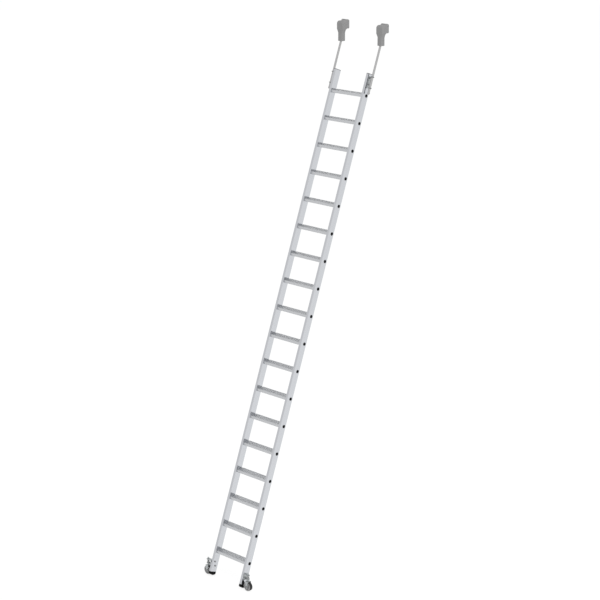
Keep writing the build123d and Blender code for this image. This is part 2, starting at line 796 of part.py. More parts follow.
# Castor wheel: hub, ribbed web and flanged rim in one moulding, a rubber tyre bonded between the flanges
wheel_axis = Axis((castor_x, 0, wheel_radius), (0, 1, 0))
wheel_section = section_plane(castor_x, 0, wheel_radius)
core_radius = wheel_radius - tyre_thickness
flange_radius = wheel_radius - flange_recess
tyre_width = wheel_width - 2 * rim_flange
rim_inside = core_radius - rim_thickness
with BuildPart() as wheel:
    with BuildSketch(wheel_section):
        bore = axle_diameter / 2 + axle_clearance
        with Locations((0, bore)):
            Rectangle(2 * (fork_inside - hub_play), hub_radius - bore, align=(Align.CENTER, Align.MIN))
            Rectangle(wheel_web, rim_inside - bore, align=(Align.CENTER, Align.MIN))
        with Locations((0, rim_inside)):
            Rectangle(wheel_width, flange_radius - rim_inside, align=(Align.CENTER, Align.MIN))
        with Locations((0, core_radius)):
            Rectangle(tyre_width, tyre_thickness, align=(Align.CENTER, Align.MIN), mode=Mode.SUBTRACT)
    revolve(axis=wheel_axis)
    with BuildSketch(castor_front):
        with Locations((0, wheel_radius)):
            with PolarLocations((hub_radius + rim_inside) / 2, rib_count, start_angle=90):
                Rectangle(rim_inside - hub_radius + 2 * rib_root, rib_thickness)
    extrude(amount=wheel_width / 2 - rib_recess, both=True)
save_pair(wheel, "castor_wheel")

with BuildPart() as tyre:
    with BuildSketch(wheel_section):
        with BuildLine():
            FilletPolyline(
                (-tyre_width / 2, core_radius),
                (-tyre_width / 2, wheel_radius),
                (tyre_width / 2, wheel_radius),
                (tyre_width / 2, core_radius),
                radius=[0, tyre_round, tyre_round, 0],
                close=True,
            )
        make_face()
    revolve(axis=wheel_axis)
save_pair(tyre, "castor_tyre")

# Castor spring: one wire wound about the stem, with its end turns drawn nearly closed
spring_bottom = seat_top + spring_gap + spring_wire / 2
spring_rise = spring_length - 2 * spring_gap - spring_wire
spring_opening = spring_rise - spring_end_pitch * spring_turns
steps = round(4 * spring_turns)


def spring_point(quarter):
    """Middle of the wire after some quarter turns: a circle that climbs slowly at both ends."""
    share = quarter / steps
    climb = spring_end_pitch * quarter / 4 + spring_opening * (3 - 2 * share) * share**2
    angle = quarter * pi / 2
    across_stem = spring_mean_radius * cos(angle)
    return Vector(castor_x + across_stem, spring_mean_radius * sin(angle), spring_bottom + climb)


def spring_way(quarter):
    """Direction of the wire there, from the rates of the same circle and climb."""
    share = quarter / steps
    climb = spring_end_pitch / 4 + spring_opening * 6 * share * (1 - share) / steps
    angle = quarter * pi / 2
    speed = spring_mean_radius * pi / 2
    return Vector(-speed * sin(angle), speed * cos(angle), climb).normalized()


def biarc_meeting(start, start_way, end, end_way):
    """Point where two arcs, tangent to both ends and to each other, meet, and their direction there."""
    span = end - start
    ways = start_way + end_way
    turn = 2 * (1 - start_way.dot(end_way))
    arm = (sqrt(span.dot(ways) ** 2 + turn * span.dot(span)) - span.dot(ways)) / turn
    first_corner = start + start_way * arm
    second_corner = end - end_way * arm
    return (first_corner + second_corner) / 2, second_corner - first_corner


with BuildPart() as spring:
    with BuildLine() as spring_path:
        for quarter in range(steps):
            start, end = spring_point(quarter), spring_point(quarter + 1)
            start_way = spring_way(quarter)
            middle, middle_way = biarc_meeting(start, start_way, end, spring_way(quarter + 1))
            TangentArc(start, middle, tangent=start_way)
            TangentArc(middle, end, tangent=middle_way)
    with BuildSketch(Plane(origin=spring_point(0), z_dir=spring_way(0))):
        Circle(spring_wire / 2)
    sweep()
save_pair(spring, "castor_spring")

samples_per_quarter = 6
samples = [spring_point(number / samples_per_quarter) for number in range(samples_per_quarter * steps + 1)]
half_turn = 2 * samples_per_quarter
spacing = min(
    (samples[first] - samples[second]).length
    for first in range(len(samples))
    for second in range(first + half_turn, len(samples))
)
print(f"least gap between the spring's turns: {spacing - spring_wire:.2f} mm")
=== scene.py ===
# %% [markdown]
# A leaning shelf ladder, seen from its front right. The construction is already there as a set of
# solids, so this notebook gives each of them its finish, winds the two castor springs as real
# wire, moulds the tyres round their rims, cuts the bolts with chamfered heads and threads, lays
# the weld beads of the steel brackets, and sets the light and the camera.

import json
from math import cos, radians, sin, tan

import bpy
import numpy as np
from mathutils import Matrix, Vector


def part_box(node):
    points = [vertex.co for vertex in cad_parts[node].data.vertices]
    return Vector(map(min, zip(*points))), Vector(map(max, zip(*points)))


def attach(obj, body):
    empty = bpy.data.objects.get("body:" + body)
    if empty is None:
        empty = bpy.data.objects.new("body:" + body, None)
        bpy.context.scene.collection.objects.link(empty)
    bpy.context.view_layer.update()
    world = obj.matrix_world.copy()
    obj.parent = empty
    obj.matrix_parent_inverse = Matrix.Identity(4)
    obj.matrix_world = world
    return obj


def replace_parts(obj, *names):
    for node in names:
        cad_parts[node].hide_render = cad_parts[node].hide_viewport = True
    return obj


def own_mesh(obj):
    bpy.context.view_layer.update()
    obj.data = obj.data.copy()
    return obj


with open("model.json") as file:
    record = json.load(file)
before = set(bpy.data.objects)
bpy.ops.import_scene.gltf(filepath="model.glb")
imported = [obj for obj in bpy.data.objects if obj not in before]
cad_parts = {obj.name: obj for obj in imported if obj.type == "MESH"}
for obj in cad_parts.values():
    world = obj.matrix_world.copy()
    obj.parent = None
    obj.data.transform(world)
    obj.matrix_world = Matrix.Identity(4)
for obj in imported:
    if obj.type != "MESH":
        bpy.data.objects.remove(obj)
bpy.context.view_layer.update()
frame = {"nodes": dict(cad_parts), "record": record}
scene = bpy.context.scene
sides = {"left": -1.0, "right": 1.0}
lean = radians(20.0)  # of the stiles, back from the vertical

# %% [markdown]
# The camera stands far off to the front right and looks down a little, with a long lens, so the
# stiles stay nearly parallel. A long lens is a narrow angle: the wider the sensor against the
# lens, the more of the scene fits in. A Track To constraint could aim it, but two angles say the
# same more simply.

# %% Camera
look_down = 15.46  # degrees below the horizon
swing = 45.0  # degrees from the front round to the right
camera_data = bpy.data.cameras.new("camera")
camera_data.sensor_width = 36.0
camera_data.lens = 109.69
camera_data.clip_end = 200.0
camera = bpy.data.objects.new("camera", camera_data)
camera.location = (11.091, -10.185, 6.769)
camera.rotation_euler = (radians(90.0 - look_down), 0.0, radians(swing))
scene.collection.objects.link(camera)
scene.camera = camera
scene.view_settings.view_transform = "Standard"
print("camera at", tuple(camera.location))

# %% [markdown]
# A shader tree is built from many small nodes. One helper adds a node, sets its properties and
# fills its sockets, where a value that is itself a socket becomes a link. A second helper opens a
# node group with named sockets, so that an effect is written once and used in many finishes.

# %% Helpers for shader trees
# Places of a Mix node's colour sockets, since their names occur more than once on it
mix_share, mix_first, mix_second, mixed = 0, 6, 7, 2


def add_node(tree, kind, sockets=(), **settings):
    """Add a node, set its properties, then fill each named socket with a value or a link."""
    made = tree.nodes.new("ShaderNode" + kind)
    for name, value in settings.items():
        setattr(made, name, value)
    for name, value in dict(sockets).items():
        if isinstance(value, bpy.types.NodeSocket):
            tree.links.new(value, made.inputs[name])
        else:
            made.inputs[name].default_value = value
    return made


def open_group(name, inputs, outputs):
    """Make a node group with float or vector sockets, and return it with its two end nodes."""
    group = bpy.data.node_groups.new(name, "ShaderNodeTree")
    for label, kind in inputs:
        group.interface.new_socket(label, in_out="INPUT", socket_type="NodeSocket" + kind)
    for label in outputs:
        group.interface.new_socket(label, in_out="OUTPUT", socket_type="NodeSocketFloat")
    return group, group.nodes.new("NodeGroupInput"), group.nodes.new("NodeGroupOutput")


def use_group(tree, group, sockets):
    """Place a node group in a tree, fill its inputs and return its only output."""
    return add_node(tree, "Group", sockets, node_tree=group).outputs[0]


def spread(tree, value, low, high):
    """Carry a value between 0 and 1 to the span from low to high."""
    sockets = {"Value": value, "To Min": low, "To Max": high}
    return add_node(tree, "MapRange", sockets).outputs["Result"]


def arithmetic(tree, operation, first, second=0.0):
    """Combine two values with one step of arithmetic."""
    return add_node(tree, "Math", {0: first, 1: second}, operation=operation).outputs["Value"]


def between(tree, share, first, second):
    """Mix two linear colours by a share between 0 and 1."""
    colours = [
        colour if isinstance(colour, bpy.types.NodeSocket) else (*colour, 1.0)
        for colour in (first, second)
    ]
    sockets = {mix_share: share, mix_first: colours[0], mix_second: colours[1]}
    return add_node(tree, "Mix", sockets, data_type="RGBA").outputs[mixed]


def feature_space(tree, size, turn=(0.0, 0.0, 0.0)):
    """Object coordinates turned by some angles and divided by a feature's size in metres."""
    place = add_node(tree, "TexCoord").outputs["Object"]
    sockets = {"Vector": place, "Rotation": turn, "Scale": size}
    return add_node(tree, "Mapping", sockets, vector_type="TEXTURE").outputs["Vector"]


print("shader helpers ready")

# %% [markdown]
# Four effects are shared. Drawn lines are the fine streaks that a die leaves on an extrusion.
# Patches are slow changes of gloss from hands and cleaning. Worn and highlit edges find where a
# rounded normal differs from the true one, which is where paint and gloss rub off and where a
# rounded edge would catch the light, so the lighter colour there is partly wear and partly a
# painted highlight. Cells are the crystals of a zinc coat.


# %% Shared effects
def make_drawn_lines():
    """Streaks: smooth noise, read in a space that is short across the lines and long along them."""
    group, start, end = open_group("drawn_lines", [("Vector", "Vector")], ["Line"])
    sockets = {"Vector": start.outputs["Vector"], "Scale": 1.0, "Detail": 4.0}
    noise = add_node(group, "TexNoise", sockets)
    group.links.new(noise.outputs["Fac"], end.inputs["Line"])
    return group


def make_patches():
    """Patches: soft noise of a few octaves, stretched so that it fills the span from 0 to 1."""
    group, start, end = open_group("patches", [("Vector", "Vector")], ["Patch"])
    sockets = {"Vector": start.outputs["Vector"], "Scale": 1.0, "Detail": 3.0}
    noise = add_node(group, "TexNoise", sockets)
    sockets = {"Value": noise.outputs["Fac"], "From Min": 0.3, "From Max": 0.7}
    stretched = add_node(group, "MapRange", sockets)
    group.links.new(stretched.outputs["Result"], end.inputs["Patch"])
    return group


def make_worn_and_highlit_edges():
    """Edges: one less the cosine between the true normal and a normal rounded over a radius."""
    group, start, end = open_group("worn_and_highlit_edges", [("Radius", "Float")], ["Edge"])
    rounded = add_node(group, "Bevel", {"Radius": start.outputs["Radius"]}, samples=4)
    true_normal = add_node(group, "NewGeometry").outputs["Normal"]
    sockets = {0: rounded.outputs["Normal"], 1: true_normal}
    cosine = add_node(group, "VectorMath", sockets, operation="DOT_PRODUCT").outputs["Value"]
    sockets = {"Value": cosine, "From Min": 0.99, "From Max": 0.85}
    edge = add_node(group, "MapRange", sockets)
    group.links.new(edge.outputs["Result"], end.inputs["Edge"])
    return group


def make_cells():
    """Cells: a Voronoi diagram, with one random grey for each cell."""
    group, start, end = open_group("cells", [("Vector", "Vector")], ["Cell"])
    voronoi = add_node(group, "TexVoronoi", {"Vector": start.outputs["Vector"], "Scale": 1.0})
    grey = add_node(group, "SeparateColor", {"Color": voronoi.outputs["Color"]})
    group.links.new(grey.outputs["Red"], end.inputs["Cell"])
    return group


drawn_lines = make_drawn_lines()
patches = make_patches()
worn_and_highlit_edges = make_worn_and_highlit_edges()
cells = make_cells()
print("shared effects:", [group.name for group in bpy.data.node_groups])

# %% [markdown]
# Every finish starts from a Principled shader. What is the same all over, such as the metal
# share, is set on the shader's own socket, and what changes over the surface is linked.


# %% A new finish
def new_finish(name, metallic=0.0, specular=0.5):
    """Make a material with a Principled shader and set the sockets that don't vary."""
    material = bpy.data.materials.new(name)
    material.use_nodes = True
    tree = material.node_tree
    shader = tree.nodes["Principled BSDF"]
    shader.inputs["Metallic"].default_value = metallic
    shader.inputs["Specular IOR Level"].default_value = specular
    return material, tree, shader


def set_bump(tree, shader, height, distance):
    """Lead a height through a Bump node to the shader's normal."""
    bump = add_node(tree, "Bump", {"Height": height, "Distance": distance})
    tree.links.new(bump.outputs["Normal"], shader.inputs["Normal"])


def normal_part(tree, axis):
    """One part of the surface's own normal, in the object's frame."""
    normal = add_node(tree, "TexCoord").outputs["Normal"]
    return add_node(tree, "SeparateXYZ", {"Vector": normal}).outputs[axis]


print("finish helpers ready")

# %% [markdown]
# The stiles are bright extruded aluminium: almost a mirror across the wide sides, where the
# wheels and the rods show as dark blurs. The narrow front is painted a little greyer than the
# sides, as painted shade. A texture could be painted on, but streaks of noise need no unwrapping.
# They run along the stile, so their space is turned by the lean before it is stretched.

# %% Stile aluminium
along_stile = (-lean, 0.0, 0.0)
bright_metal = (0.80, 0.81, 0.83)
line_relief = 0.000008
edge_radius = 0.0012


def stile_finish():
    """Side and front greys chosen by the surface's own normal, the darker front as painted shade,
    with streaks along the lean.
    """
    # Painted shade: the narrow front takes a darker grey than the wide sides.
    painted_shade_front_grey, side_grey = (0.475, 0.485, 0.51), (0.577, 0.593, 0.621)
    streak_share, rubbed_and_highlit_share = 0.22, 0.25
    streak_size, patch_size = (0.0016, 0.0016, 1.5), (0.03, 0.03, 0.25)
    streak_dullness, patch_dullness = (0.0, 0.08), (0.05, 0.11)
    material, tree, shader = new_finish("stile_aluminium", metallic=1.0)
    line = use_group(tree, drawn_lines, {"Vector": feature_space(tree, streak_size, along_stile)})
    patch = use_group(tree, patches, {"Vector": feature_space(tree, patch_size, along_stile)})
    # Painted shade: where the normal has no sideways part, the darker front grey is used.
    sideways = arithmetic(tree, "ABSOLUTE", normal_part(tree, "X"))
    grey = between(tree, sideways, painted_shade_front_grey, side_grey)
    streaked = between(tree, spread(tree, line, 0.0, streak_share), grey, bright_metal)
    # Edges mixed towards bright metal: partly wear, partly a painted highlight.
    edge = use_group(tree, worn_and_highlit_edges, {"Radius": edge_radius})
    rubbed_and_highlit = arithmetic(tree, "MULTIPLY", edge, rubbed_and_highlit_share)
    tree.links.new(between(tree, rubbed_and_highlit, streaked, bright_metal), shader.inputs["Base Color"])
    dullness = spread(tree, line, *streak_dullness), spread(tree, patch, *patch_dullness)
    tree.links.new(arithmetic(tree, "ADD", *dullness), shader.inputs["Roughness"])
    set_bump(tree, shader, line, line_relief)
    return material


finishes = {"stile_aluminium": stile_finish()}
print("stile finish ready")

# %% [markdown]
# The treads are the same metal, but shoes scuff their grooved tops, so the top is duller than the
# sides, and its greys lie in patches instead of lines. Two materials could be put on by face, but
# one serves both: the upward share of the normal tells them apart.


# %% Tread aluminium
def tread_finish():
    """A dull, scuffed top and smoother sides, told apart by the upward share of the normal."""
    dark_grey, light_grey = (0.505, 0.515, 0.531), (0.575, 0.585, 0.601)
    line_size, scuff_size = (0.5, 0.0012, 0.0012), (0.03, 0.018, 0.018)
    scuff_dullness, side_to_top_dullness = (0.0, 0.12), (0.22, 0.34)
    material, tree, shader = new_finish("tread_aluminium", metallic=0.85)
    line = use_group(tree, drawn_lines, {"Vector": feature_space(tree, line_size)})
    scuff = use_group(tree, patches, {"Vector": feature_space(tree, scuff_size)})
    sockets = {"Value": normal_part(tree, "Z"), "From Min": 0.3, "From Max": 0.8}
    top = add_node(tree, "MapRange", sockets).outputs["Result"]
    top_grey = between(tree, scuff, dark_grey, light_grey)
    side_grey = between(tree, line, dark_grey, light_grey)
    tree.links.new(between(tree, top, side_grey, top_grey), shader.inputs["Base Color"])
    dullness = spread(tree, scuff, *scuff_dullness), spread(tree, top, *side_to_top_dullness)
    tree.links.new(arithmetic(tree, "ADD", *dullness), shader.inputs["Roughness"])
    set_bump(tree, shader, line, line_relief)
    return material


finishes["tread_aluminium"] = tread_finish()
print("tread finish ready")

# %% [markdown]
# Galvanised steel carries crystals of zinc, each with its own grey. Plated fasteners are finer
# and darker. The rods are drawn bright tube. All three are metals that differ in grain size and
# gloss. A picture of zinc could be mapped on, but the cells of a Voronoi diagram have no seams.


# %% Steel finishes
def galvanised_finish():
    """Greys and gloss that change from crystal to crystal, a little brighter on edges from wear and
    a painted highlight.
    """
    dark_zinc, light_zinc = (0.372, 0.392, 0.397), (0.462, 0.482, 0.487)
    worn_and_highlit_zinc = (0.62, 0.63, 0.64)
    crystal_size, crystal_relief, crystal_dullness = 0.0035, 0.00001, (0.30, 0.46)
    material, tree, shader = new_finish("galvanised_steel", metallic=0.9)
    cell = use_group(tree, cells, {"Vector": feature_space(tree, (crystal_size,) * 3)})
    # Lighter zinc on edges: partly wear, partly a painted highlight.
    edge = use_group(tree, worn_and_highlit_edges, {"Radius": edge_radius})
    grey = between(tree, cell, dark_zinc, light_zinc)
    tree.links.new(between(tree, edge, grey, worn_and_highlit_zinc), shader.inputs["Base Color"])
    tree.links.new(spread(tree, cell, *crystal_dullness), shader.inputs["Roughness"])
    set_bump(tree, shader, cell, crystal_relief)
    return material


def plated_finish(name, dark, light, grain):
    """Fine grained plating between two greys, brighter on edges from wear and a painted highlight.
    """
    worn_and_highlit_plating = (0.60, 0.60, 0.61)
    grain_dullness = (0.22, 0.36)
    material, tree, shader = new_finish(name, metallic=0.95)
    patch = use_group(tree, patches, {"Vector": feature_space(tree, (grain,) * 3)})
    # Lighter plating on edges: partly wear, partly a painted highlight.
    edge = use_group(tree, worn_and_highlit_edges, {"Radius": edge_radius / 2})
    grey = between(tree, patch, (dark,) * 3, (light,) * 3)
    tree.links.new(between(tree, edge, grey, worn_and_highlit_plating), shader.inputs["Base Color"])
    tree.links.new(spread(tree, patch, *grain_dullness), shader.inputs["Roughness"])
    return material


def rod_finish():
    """Bright drawn tube with faint lines along the lean."""
    dark, light = 0.365, 0.535
    streak_size, streak_relief, streak_dullness = (0.0012, 0.0012, 0.8), 0.000015, (0.14, 0.34)
    material, tree, shader = new_finish("rod_steel", metallic=0.7)
    line = use_group(tree, drawn_lines, {"Vector": feature_space(tree, streak_size, along_stile)})
    grey = between(tree, line, (dark,) * 3, (light,) * 3)
    tree.links.new(grey, shader.inputs["Base Color"])
    tree.links.new(spread(tree, line, *streak_dullness), shader.inputs["Roughness"])
    set_bump(tree, shader, line, streak_relief)
    return material


finishes["galvanised_steel"] = galvanised_finish()
# Name, darker grey, lighter grey, size of the grain
finishes["zinc_fastener"] = plated_finish("zinc_fastener", 0.22, 0.32, 0.003)
finishes["spring_steel"] = plated_finish("spring_steel", 0.40, 0.50, 0.004)
# A brighter plating for the rail heads' screws, painted light against the shade of their recesses.
bright_zinc = plated_finish("bright_zinc", 0.55, 0.66, 0.003)
finishes["rod_steel"] = rod_finish()
print("steel finishes:", [name for name in finishes if "aluminium" not in name])

# %% [markdown]
# The mouldings are plastic and rubber. A mould is etched, so its plastic has a fine grain that
# breaks up the gloss, and the grain's pits are darkened as painted shade. Edges that are handled
# get a little lighter, partly as wear and partly as a painted highlight. Rubber holds some pale
# dust, which lies in patches. The grain could be a picture too, but noise of the right size never
# repeats.


# %% Plastic and rubber finishes
pale_dust = (0.30, 0.295, 0.28)
patch_shade = 0.96  # of the colour, where a patch is darkest
# Painted shade: the pits of the grain are darkened, as shade for their relief.
pit_painted_shade = 0.88  # of the colour, in the pits of the grain
dullness_swing = 0.05
moulded_patch = 0.02
moulded_edge = 0.001


def moulded_finish(name, colour, worn_and_highlit, roughness, specular, grain, relief, dust=0.0):
    """One colour with slow patches, a fine grain with painted shade in its pits, dust, and edges
    lighter from wear and a painted highlight.
    """
    material, tree, shader = new_finish(name, specular=specular)
    patch = use_group(tree, patches, {"Vector": feature_space(tree, (moulded_patch,) * 3)})
    grit = use_group(tree, patches, {"Vector": feature_space(tree, (grain,) * 3)})
    edge = use_group(tree, worn_and_highlit_edges, {"Radius": moulded_edge})
    shade = between(tree, patch, tuple(patch_shade * part for part in colour), colour)
    # Painted shade in the pits of the grain.
    pit_shaded = between(tree, grit, tuple(pit_painted_shade * part for part in colour), shade)
    if dust:
        pit_shaded = between(tree, spread(tree, patch, 0.0, dust), pit_shaded, pale_dust)
    # Lighter colour on edges: partly wear, partly a painted highlight.
    tree.links.new(between(tree, edge, pit_shaded, worn_and_highlit), shader.inputs["Base Color"])
    dullness = spread(tree, patch, roughness - dullness_swing, roughness + dullness_swing)
    tree.links.new(dullness, shader.inputs["Roughness"])
    set_bump(tree, shader, grit, relief)
    return material


# Colour, worn and highlit edges, roughness, specular level, size and relief of the grain, share of
# dust
moulded = {
    "black_plastic": ((0.004, 0.004, 0.0042), (0.010, 0.010, 0.0105), 0.45, 0.06, 0.0008, 0.00002),
    "foot_rubber": ((0.005, 0.005, 0.005), (0.01, 0.01, 0.01), 0.65, 0.08, 0.0012, 0.00008, 0.01),
    "cap_plastic": ((0.055, 0.056, 0.058), (0.09, 0.092, 0.095), 0.45, 0.30, 0.0008, 0.00003),
    "head_plastic": ((0.325, 0.325, 0.326), (0.36, 0.36, 0.362), 0.55, 0.40, 0.0010, 0.00006),
    "roller_plastic": ((0.030, 0.030, 0.032), (0.08, 0.08, 0.085), 0.30, 0.50, 0.0010, 0.00001),
    "wheel_plastic": ((0.42, 0.42, 0.425), (0.46, 0.46, 0.465), 0.45, 0.40, 0.0010, 0.00004),
    "tyre_rubber": ((0.034, 0.034, 0.035), (0.06, 0.06, 0.06), 0.60, 0.15, 0.0014, 0.00008, 0.07),
}
for name, values in moulded.items():
    finishes[name] = moulded_finish(name, *values)
print("moulded finishes:", list(moulded))

# %% [markdown]
# Each solid keeps its mesh and takes the finish of the slot that its record names. The small
# screws of the rail heads get a brighter zinc than the other fasteners, a painted lightening that
# keeps the shade of their recesses from showing them as dark dots.

# %% Put the finishes on
for part in frame["record"]["subparts"]:
    solid = frame["nodes"][part["node"]]
    solid.data.materials.clear()
    solid.data.materials.append(finishes[part["material_slot"]])
for side in sides:
    # Painted light: the brighter zinc hides the shade of the screws' recesses.
    frame["nodes"][f"{side}_head_screws"].data.materials[0] = bright_zinc

# %% [markdown]
# The new pieces are all grids of rings: a ring of points is carried along a path, and each ring
# is joined to the next with quads. An open path is closed with a flat cap at either end, a closed
# path runs back into its own first ring. Edges sharper than a limit stay sharp, the rest shade
# smoothly.


# %% Surfaces on a grid
def ring_faces(rows, columns, first, closed_path):
    """Quads between neighbouring rings, and on an open path a cap at either end."""
    index = first + np.arange(rows * columns).reshape(rows, columns)
    path = np.vstack([index, index[:1]]) if closed_path else index
    ahead = np.roll(path, -1, axis=1)
    quads = np.stack([path[:-1], ahead[:-1], ahead[1:], path[1:]], axis=-1)
    quads = quads.reshape(-1, 4).tolist()
    return quads if closed_path else quads + [index[0, ::-1].tolist(), index[-1].tolist()]


def grid_object(name, grids, slot, body, sharp=25.0):
    """One piece from pairs of a grid of points and whether its path is closed."""
    faces, first = [], 0
    for points, closed_path in grids:
        rows, columns, _ = points.shape
        faces += ring_faces(rows, columns, first, closed_path)
        first += rows * columns
    mesh = bpy.data.meshes.new(name)
    corners = np.concatenate([points.reshape(-1, 3) for points, _ in grids])
    mesh.from_pydata(corners.tolist(), [], faces)
    mesh.polygons.foreach_set("use_smooth", np.ones(len(faces), bool))
    mesh.set_sharp_from_angle(angle=radians(sharp))
    mesh.materials.append(finishes[slot])
    made = bpy.data.objects.new(name, mesh)
    scene.collection.objects.link(made)
    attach(made, body)
    return made


def unit(vectors):
    """Vectors divided by their lengths."""
    return vectors / np.linalg.norm(vectors, axis=-1, keepdims=True)


print("surface helpers ready")

# %% [markdown]
# Each castor is sprung: a short spring of round wire stands on a collar of the stem and pushes it
# down from the upper lug. Its end turns lie nearly closed and the middle ones are open, so its
# height climbs slowly, then fast, then slowly again. A curve with a bevel would also do, but a
# computed tube lets the end turns be exact. On a real ladder the spring shortens towards the lug
# when the ladder is stepped on; here it keeps one shape.


# %% Castor springs
def tube_points(curve, outs, radius, columns=20):
    """Circles of a radius round a curve, drawn with the outward and sideways directions there."""
    ways = unit(np.gradient(curve, axis=0))
    sideways = unit(np.cross(ways, outs))
    outward = np.cross(sideways, ways)
    angle = np.linspace(0.0, 2.0 * np.pi, columns, endpoint=False)[None, :, None]
    circle = np.cos(angle) * outward[:, None] + np.sin(angle) * sideways[:, None]
    return curve[:, None] + radius * circle


spring_wire = 0.0024
spring_turns = 4.5
spring_end_pitch = 0.0029
spring_gap = 0.0003  # between the end turns and the collar or the lug
points_per_turn = 48
for side, hand in sides.items():
    low, high = (np.array(corner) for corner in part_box(f"{side}_castor_spring"))
    mean_radius = (high[1] - low[1] - spring_wire) / 2
    rise = high[2] - low[2] - spring_wire
    opening = rise - spring_end_pitch * spring_turns
    share = np.linspace(0.0, 1.0, int(points_per_turn * spring_turns))
    angle = 2.0 * np.pi * spring_turns * share
    climb = spring_end_pitch * spring_turns * share + opening * (3 - 2 * share) * share**2
    outs = np.stack([hand * np.cos(angle), np.sin(angle), np.zeros_like(angle)], axis=-1)
    foot = np.array([(low[0] + high[0]) / 2, 0.0, low[2] + spring_wire / 2])
    curve = foot + mean_radius * outs + climb[:, None] * np.array([0.0, 0.0, 1.0])
    wire = tube_points(curve, outs, spring_wire / 2)
    spring = grid_object(f"{side}_spring_wire", [(wire, False)], "spring_steel", "ladder_frame")
    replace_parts(spring, f"{side}_castor_spring")
    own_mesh(spring)
    print(f"{side} spring: mean radius {1000 * mean_radius:.1f} mm, rise {1000 * rise:.1f} mm")

# %% [markdown]
# Each wheel runs on a rubber tyre that is moulded round its rim. The tyre is thick between the
# rim's two flanges, a thin lip of it laps over each flange, and its tread is nearly flat and
# falls away at the shoulders. A Screw modifier could turn the profile round the axle, but a
# computed ring keeps the radii exact and meets itself without a seam.


# %% Tyres
def turned_points(offsets, radii, middle, columns=120):
    """A profile of offsets along the axle and radii round it, carried once round the axle."""
    angle = np.linspace(2.0 * np.pi, 0.0, columns, endpoint=False)
    across = np.broadcast_to(offsets[:, None], (len(offsets), columns))
    points = [radii[:, None] * np.cos(angle), across, radii[:, None] * np.sin(angle)]
    return middle + np.stack(points, axis=-1)


tyre_thickness = 0.004
rim_flange = 0.0025
flange_recess = 0.001
lip_inset = 0.0003  # of the lip from the flange's outer side
lip_gap = 0.00005  # between the lip and the flange
shoulder_drop = 0.0007
shoulder_power = 6  # the higher, the flatter the tread and the shorter the shoulders
tread_points = 33
for side in sides:
    low, high = (np.array(corner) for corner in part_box(f"{side}_castor_tyre"))
    radius = (high[2] - low[2]) / 2
    inner = (high[1] - low[1]) / 2
    lap = inner + rim_flange - lip_inset
    under = radius - flange_recess + lip_gap
    core = radius - tyre_thickness
    tread = np.linspace(-lap, lap, tread_points)
    crown = radius - shoulder_drop * (tread / lap) ** shoulder_power
    offsets = np.concatenate([tread, [lap, inner, inner, -inner, -inner, -lap]])
    radii = np.concatenate([crown, [under, under, core, core, under, under]])
    band = turned_points(offsets, radii, (low + high) / 2)
    tyre = grid_object(f"{side}_tyre_band", [(band, True)], "tyre_rubber", f"{side}_wheel")
    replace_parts(tyre, f"{side}_castor_tyre")
    print(f"{side} tyre: radius {1000 * radius:.1f} mm, width {2000 * lap:.1f} mm")

# %% [markdown]
# A bolt is a stack of rings: the threaded end, the shank, the six sided head and its chamfer. The
# head's ring is a hexagon, and a shallow cone cuts its corners off, which leaves the curved edges
# that every real bolt head shows. Where the cone meets the hexagon depends on the angle round the
# bolt, so that ring rises and falls. A Bevel modifier would only round the corners evenly.

# %% Rings of a bolt
bolt_columns = 60
around = np.linspace(0.0, 2.0 * np.pi, bolt_columns, endpoint=False)
chamfer_slope = tan(radians(30.0))
chamfer_circle = 0.475  # radius of the circle that the cone leaves, as a share of the flats
thread_pitch = 0.00125
thread_depth = 0.0007
thread_rows = 8  # rings for each pitch
point_inset = 0.0009  # of the pointed end's rim
runout = 0.0003  # between the thread and the plain shank
bore_lip = 0.0004


def hexagon(flats):
    """Radius of a hexagon by angle: half the flats over the cosine from the nearest flat."""
    return flats / 2 / np.cos(np.mod(around, np.pi / 3) - np.pi / 6)


def rings(radii, heights):
    """Rings about the third axis, from a radius and a height for each ring, alike or by angle."""
    radii = np.stack([np.broadcast_to(radius, bolt_columns) for radius in radii])
    heights = np.stack([np.broadcast_to(height, bolt_columns) for height in heights])
    return np.stack([radii * np.cos(around), radii * np.sin(around), heights], axis=-1)


def cut_hexagon(flats):
    """Radii of a hexagon and of the circle that a cone leaves on its end, and the cut's depth."""
    corner = hexagon(flats)
    circle = chamfer_circle * flats
    return corner, circle, (corner - circle) * chamfer_slope


def head_rings(flats, height):
    """Hexagon from its bearing face up to where a cone cuts its corners, then the top circle."""
    corner, circle, cut = cut_hexagon(flats)
    return rings([corner, corner, circle], [0.0, height - cut, height])


def thread_rings(radius, bottom, top):
    """A radius less a triangle wave of height against angle, under a cone that points the end."""
    height = np.linspace(bottom, top, int(thread_rows * (top - bottom) / thread_pitch))[:, None]
    phase = np.mod(height / thread_pitch - around / (2.0 * np.pi), 1.0)
    cut = radius - thread_depth * np.abs(2.0 * phase - 1.0)
    point = radius - point_inset + (height - bottom)
    return rings(np.minimum(cut, point), height)


def bolt_rings(flats, head, radius, length, threaded):
    """Thread, plain shank and head in one surface, with the bearing face at height zero."""
    thread = thread_rings(radius, -length, threaded - length)
    shank = rings([radius, radius], [threaded - length + runout, 0.0])
    return np.concatenate([thread, shank, head_rings(flats, head)])


def nut_rings(flats, height, bore):
    """Hexagon cut by a cone at both ends, then back through a bore with small chamfers."""
    corner, circle, cut = cut_hexagon(flats)
    radii = [circle, corner, corner, circle, bore + bore_lip, bore, bore, bore + bore_lip]
    heights = [0.0, cut, height - cut, height, height, height - bore_lip, bore_lip, 0.0]
    return rings(radii, heights)


def stand(points, origin, first, axis):
    """Carry rings from their own axes to an origin, a direction of the first corner and an axis."""
    first, axis = np.array(first), np.array(axis)
    return np.array(origin) + points @ np.stack([first, np.cross(axis, first), axis])


print("bolt rings ready,", bolt_columns, "points each")

